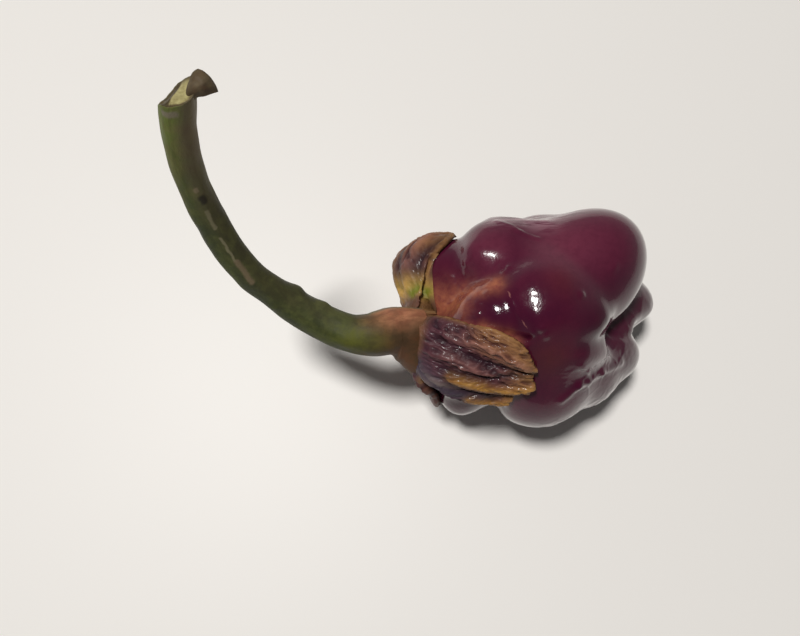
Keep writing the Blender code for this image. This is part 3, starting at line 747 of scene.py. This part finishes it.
SCARS = (  # healed scrapes and specks: from, to, width and colour
    ((-33.54, 4.29, 21.6), (-33.28, 3.50, 19.7), 0.30, tint(126, 120, 92)),
    ((-33.07, 2.94, 18.6), (-32.14, 1.52, 15.9), 0.20, tint(130, 124, 96)),
    ((-32.05, 1.53, 15.9), (-31.05, 0.25, 13.4), 0.42, tint(124, 108, 84)),
    ((-33.60, 4.96, 23.1), (-33.50, 4.80, 22.7), 0.55, tint(40, 34, 26)),
    ((-33.81, 5.21, 24.2), (-33.78, 5.15, 24.0), 0.35, tint(132, 118, 92)),
    ((-34.30, 7.90, 31.6), (-33.30, 7.75, 31.7), 0.45, tint(122, 112, 96)),
)

foot_line = [out * POLE_DIRECTION for out, _ in STEM_FOOT]
route = smooth_route([*foot_line, *(point for point, _ in STEM_ROUTE)], ROUTE_STEPS)
route_radii = smooth_route([[radius] for _, radius in (*STEM_FOOT, *STEM_ROUTE)], ROUTE_STEPS)[:, 0]
route_length = np.concatenate(([0.0], np.cumsum(np.linalg.norm(np.diff(route, axis=0), axis=1))))
tangents = np.gradient(route, route_length, axis=0)
tangents /= np.linalg.norm(tangents, axis=1)[:, None]
side_ways = [unit(np.cross(tangents[0], (0, 0, 1.0)))]
for tangent in tangents[1:]:
    side_ways.append(unit(side_ways[-1] - (side_ways[-1] @ tangent) * tangent))
side_ways = np.array(side_ways)
up_ways = np.cross(side_ways, tangents)


def on_route(lengths, values):
    return np.stack([np.interp(lengths, route_length, values[:, axis]) for axis in range(values.shape[1])], axis=1)


stem_grid = bmesh.new()
bmesh.ops.create_grid(stem_grid, x_segments=STEM_COLUMNS, y_segments=STEM_ROWS + PITH_ROWS, size=0.5)
sheet = np.array([vertex.co for vertex in stem_grid.verts])
turn = (sheet[:, 0] + 0.5) * 2 * np.pi
row = (sheet[:, 1] + 0.5) * (STEM_ROWS + PITH_ROWS)
bark_share = np.minimum(row / STEM_ROWS, 1.0)
inward = np.clip((row - STEM_ROWS) / PITH_ROWS, 0, 1)


def tube_points(lengths, turn, radius_share=1.0):
    radii = np.interp(lengths, route_length, route_radii) * radius_share
    ribbed = 1 + 0.020 * np.cos(5 * turn + 0.08 * lengths) + 0.012 * np.cos(3 * turn - 0.05 * lengths)
    around = np.cos(turn)[:, None] * on_route(lengths, side_ways) + np.sin(turn)[:, None] * on_route(lengths, up_ways)
    flare = FOOT_FLARE * (1 - ease(lengths, -0.6, 4.6)) * np.maximum(around @ FOOT_TURNED, 0) ** 2
    return on_route(lengths, route) + around * (radii * ribbed * (1 + flare))[:, None], around


columns = np.linspace(0, 2 * np.pi, 721)
tear_lengths = []
for angle_round in columns:
    lengths = np.linspace(route_length[-1] * 0.85, route_length[-1], 200)
    line, _ = tube_points(lengths, np.full(200, angle_round))
    beyond = (line - TEAR_POINT) @ TEAR_FACING
    tear_lengths.append(np.interp(0.0, beyond, lengths))
rim_lengths = np.interp(turn, columns, tear_lengths)
rim_noise = np.column_stack((np.cos(turn), np.sin(turn), np.zeros(len(turn))))
rim_lengths = rim_lengths + 0.10 * rough_numbers(rim_noise, 0.35, 2.0) + 0.06 * rough_numbers(rim_noise, 0.12, 5.0)
_, facing = tube_points(rim_lengths, turn)
rim_lengths = rim_lengths - TEAR_DROP * np.maximum(facing @ TORN_LOW, 0) ** 1.5
stem_points, outward = tube_points(bark_share * rim_lengths, turn)
middle_of_tear = TEAR_POINT - TEAR_FACING * 0.10
in_pith = ease(inward, 0.0, 0.35)
stem_points = stem_points + (middle_of_tear - stem_points) * inward[:, None]
stem_points -= TEAR_FACING * (PITH_DEPTH * in_pith * (1 - inward**2))[:, None]
knobbed = sum(
    rise * np.exp(-((np.linalg.norm(stem_points - np.array(knob), axis=1) / size) ** 2))
    for knob, size, rise in KNOBS
)
uneven = UNEVENNESS * rough_numbers(stem_points, 2.4, 6.0)
stem_points += outward * ((knobbed + uneven) * (1 - in_pith))[:, None]
past_lip = stem_points[:, :2] @ LIP_FACING - LIP_AT  # past the bark's torn lip, across the bare pith
stem = plain_object("stem_stalk", stem_grid, stem_points)
lengths = bark_share * rim_lengths
near_foot = 1 - ease(lengths, 3.5, 9.5)
near_tear = ease(lengths, 28.0, 42.0)
mark(
    stem,
    flow=np.stack((np.cos(turn) * 1.6, np.sin(turn) * 1.6, lengths / 4), axis=1),
    wrinkled=(1 - inward) * (0.6 + 0.6 * near_foot),
    foot=near_foot,
    far=np.clip(outward[:, 1], -1, 1),
    moss=np.exp(-((lengths - 8.2) / 2.4) ** 2) * ease(-outward[:, 1], -0.4, 0.3) * ease(outward[:, 2], 0.1, 0.6),
    right=np.clip(outward[:, 0], -1, 1),
    tip=near_tear,
    pith=in_pith * ease(past_lip, 0.0, 0.15) * ease(stem_points[:, 1], 8.35, 8.6),
    torn=ease(inward, 0.0, 0.08),
)
welder = bmesh.new()
welder.from_mesh(stem.data)
bmesh.ops.remove_doubles(welder, verts=welder.verts, dist=1e-7)
foot_rim = [e for e in welder.edges if e.is_boundary]
bmesh.ops.holes_fill(welder, edges=foot_rim)
bmesh.ops.dissolve_degenerate(welder, edges=welder.edges, dist=1e-7)
bmesh.ops.recalc_face_normals(welder, faces=welder.faces)
welder.to_mesh(stem.data)
welder.free()

bark = bpy.data.materials.new("green_stem_bark")
bark.use_nodes = True
tree = bark.node_tree
skin = tree.nodes["Principled BSDF"]
position = scaled(tree, add(tree, "ShaderNodeTexCoord").outputs["Object"], 1000.0)
grain_way = layer(tree, "flow", "Vector")
streaky = in_group(tree, mottling, position=grain_way, patch=0.5, share=0.5, edge=0.14)
blotchy = in_group(tree, mottling, position=position, patch=2.2, share=0.5, edge=0.14)
rightward = ramped(tree, layer(tree, "right"), -0.1, 0.6)
far_side = ramped(tree, layer(tree, "far"), -0.35, 0.45)
far_edge = ramped(tree, layer(tree, "far"), 0.80, 0.97)
torn_cloud = in_group(tree, mottling, position=position, patch=0.5, share=0.5, edge=0.2)
dark_green, mid_green = tint(54, 62, 32), tint(82, 88, 46)
tip_green, tip_olive = tint(100, 112, 48), tint(112, 112, 62)
shade_olive, sunned_brown, moss_green = tint(52, 50, 30), tint(106, 90, 74), tint(92, 94, 34)
foot_dark, foot_brown = tint(80, 52, 38), tint(96, 64, 42)
foot_light, foot_red = tint(184, 124, 92), tint(148, 94, 70)
foot_grey, torn_brown, torn_dark = tint(120, 118, 96), tint(84, 62, 46), tint(60, 44, 34)
pale_pith, dark_pith = tint(186, 176, 124), tint(142, 130, 84)
# the foot is darker brown on its underside, as painted shade, and lighter orange-red on its upper, far side, partly
# its own redder colour and partly painted light
foot_colour = mixed(tree, far_side, mixed(tree, blotchy, foot_dark, foot_brown),
                    mixed(tree, streaky, foot_light, foot_red))
foot_colour = mixed(tree, far_edge, foot_colour, foot_grey)
colour = mixed(tree, blotchy, dark_green, mid_green)
colour = mixed(tree, layer(tree, "tip"), colour, mixed(tree, blotchy, tip_green, tip_olive))
colour = painted(tree, colour, shade_olive, streaky, 0.35)
# browner towards the stem's right-hand side, more so near the tear
colour = painted(tree, colour, sunned_brown, rightward, maths(tree, "MULTIPLY_ADD", layer(tree, "tip"), 0.55, 0.2))
colour = painted(tree, colour, foot_colour, layer(tree, "foot"), maths(tree, "MULTIPLY_ADD", blotchy, 0.3, 0.7))
# brighter green on the near, upward-facing side a little above the foot
colour = painted(tree, colour, moss_green, layer(tree, "moss"), maths(tree, "MULTIPLY_ADD", blotchy, 0.5, 0.35))
for start, end, width, shade in SCARS:
    ends = [tuple(np.array(place) + pod_middle) for place in (start, end)]
    mask = in_group(tree, scar_line, position=position, start=ends[0], end=ends[1], width=width)
    colour = painted(tree, colour, shade, mask, 0.85)
colour = painted(tree, colour, mixed(tree, streaky, torn_brown, torn_dark), layer(tree, "torn"), 0.8)
colour = mixed(tree, layer(tree, "pith"), colour, mixed(tree, torn_cloud, pale_pith, dark_pith))
tree.links.new(colour, skin.inputs["Base Color"])
tree.links.new(maths(tree, "MULTIPLY_ADD", blotchy, 0.15, 0.5), skin.inputs["Roughness"])
skin.inputs["Specular IOR Level"].default_value = 0.2
tree.links.new(grained(tree, position, 0.14, 0.5, 0.03), skin.inputs["Normal"])

grown(stem, skin_relief, skin=bark, wrinkle_size=0.7, wrinkle_depth=0.08, pebble_size=0.4, pebble_depth=0.02,
      seed=23.0)
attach(stem, "root")
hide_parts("stem")

# The tongue is a flake of dry bark that tore loose with the stem's end and curled as it dried. It is a thin
# sheet, still held to the stem at its root.
TONGUE_RAILS = (  # from the root to the tip: its far edge, its middle and its near edge
    ((-32.6, 8.9, 31.2), (-32.3, 9.5, 32.3), (-32.0, 10.1, 32.8), (-31.6, 10.7, 33.0), (-31.4, 11.0, 32.9)),
    ((-32.5, 8.9, 31.4), (-31.8, 9.2, 32.4), (-31.2, 9.5, 32.9), (-30.7, 9.9, 33.0), (-30.5, 10.4, 32.7)),
    ((-32.4, 9.0, 31.5), (-31.6, 9.2, 31.9), (-30.9, 9.2, 32.2), (-30.5, 9.4, 32.1), (-30.1, 9.8, 31.8)),
)
TONGUE_THICKNESS = 0.14
TONGUE_COLUMNS = 24
TONGUE_ROWS = 28
tongue_grid = bmesh.new()
bmesh.ops.create_grid(tongue_grid, x_segments=TONGUE_COLUMNS, y_segments=TONGUE_ROWS, size=0.5)
sheet = np.array([vertex.co for vertex in tongue_grid.verts]) + 0.5
rails = np.array([smooth_route(rail, TONGUE_ROWS + 1) for rail in TONGUE_RAILS])
spots = np.rint(sheet[:, 1] * TONGUE_ROWS).astype(int)
across = sheet[:, 0]
weights = np.stack(((1 - across) * (1 - 2 * across), 4 * across * (1 - across), across * (2 * across - 1)))
tongue_points = sum(weight[:, None] * rail[spots] for weight, rail in zip(weights, rails))
tongue_points[:, 2] += 0.16 * rough_numbers(tongue_points, 0.6, 3.0)
tongue = plain_object("stem_bark_tongue", tongue_grid, tongue_points)
tongue.data.materials.append(bark)
whole_tongue = np.ones(len(across))
mark(tongue, flow=np.column_stack((across * 2, sheet[:, 1], sheet[:, 1] * 0)), far=whole_tongue,
     right=whole_tongue, tip=whole_tongue, torn=0.7 + 0.5 * rough_numbers(tongue_points, 0.5, 4.0))
solid = tongue.modifiers.new("thickness", "SOLIDIFY")
solid.thickness = TONGUE_THICKNESS * 0.001
solid.offset = 0.0
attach(tongue, "root")

# The table is one plain, pale, matt sheet under the pepper. It is there to take the shadow, and it is not
# part of the object.
TABLE_HALF_WIDTH = 1.5  # metres
table_grid = bmesh.new()
bmesh.ops.create_grid(table_grid, x_segments=1, y_segments=1, size=TABLE_HALF_WIDTH)
table_mesh = bpy.data.meshes.new("table_top")
table_grid.to_mesh(table_mesh)
table_grid.free()
table = bpy.data.objects.new("table_top", table_mesh)
bpy.context.scene.collection.objects.link(table)
board = bpy.data.materials.new("pale_table")
board.use_nodes = True
tree = board.node_tree
surface = tree.nodes["Principled BSDF"]
surface.inputs["Base Color"].default_value = tint(246, 243, 239)
surface.inputs["Roughness"].default_value = 0.5
table_mesh.materials.append(board)

# The light is one small soft lamp overhead, as a ceiling light is, in a dim room whose walls are brighter
# than its ceiling.
LAMP_WAY = unit((0.243, -0.119, -0.963))  # the way the light travels
LAMP_DISTANCE = 0.8
LAMP_WIDTH = 0.15
LAMP_WATTS = 5.2
WALL_LIGHT = (0.23, 0.225, 0.22, 1.0)
CEILING_LIGHT = (0.06, 0.059, 0.058, 1.0)
lamp = bpy.data.lights.new("ceiling_lamp", "AREA")
lamp.shape = "DISK"
lamp.size = LAMP_WIDTH
lamp.energy = LAMP_WATTS
lamp.color = (1.0, 0.985, 0.96)
lamp_object = bpy.data.objects.new("ceiling_lamp", lamp)
middle = Vector(pod_middle * 0.001)
lamp_object.location = middle - Vector(LAMP_WAY) * LAMP_DISTANCE
lamp_object.rotation_euler = Vector(LAMP_WAY).to_track_quat("-Z", "Y").to_euler()
bpy.context.scene.collection.objects.link(lamp_object)
room = bpy.data.worlds.new("dim_room")
room.use_nodes = True
tree = room.node_tree
height_up = add(tree, "ShaderNodeSeparateXYZ", {0: add(tree, "ShaderNodeTexCoord").outputs["Generated"]}).outputs["Z"]
ceiling = add(tree, "ShaderNodeMapRange", {"Value": height_up, "From Min": 0.0, "From Max": 0.8},
              interpolation_type="SMOOTHSTEP").outputs[0]
tree.links.new(mixed(tree, ceiling, WALL_LIGHT, CEILING_LIGHT), tree.nodes["Background"].inputs["Color"])
bpy.context.scene.world = room
bpy.context.scene.view_settings.view_transform = "Standard"

# The camera looks down on the pepper from a hand's breadth above, a little from the near side. Its lens is
# wide, so the stem's raised end looks large.
CAMERA_PLACE = (-0.01594, -0.01969, 0.07443)  # from the pod's middle, in metres
CAMERA_TILT = 15.0  # degrees off straight down
camera = bpy.data.cameras.new("camera")
camera.lens = 28.26
camera.sensor_width = 36.0
camera.shift_y = -2 / 800
camera.clip_start = 0.001
camera_object = bpy.data.objects.new("camera", camera)
camera_object.location = middle + Vector(CAMERA_PLACE)
camera_object.rotation_euler = (np.radians(CAMERA_TILT), 0.0, 0.0)
bpy.context.scene.collection.objects.link(camera_object)
bpy.context.scene.camera = camera_object
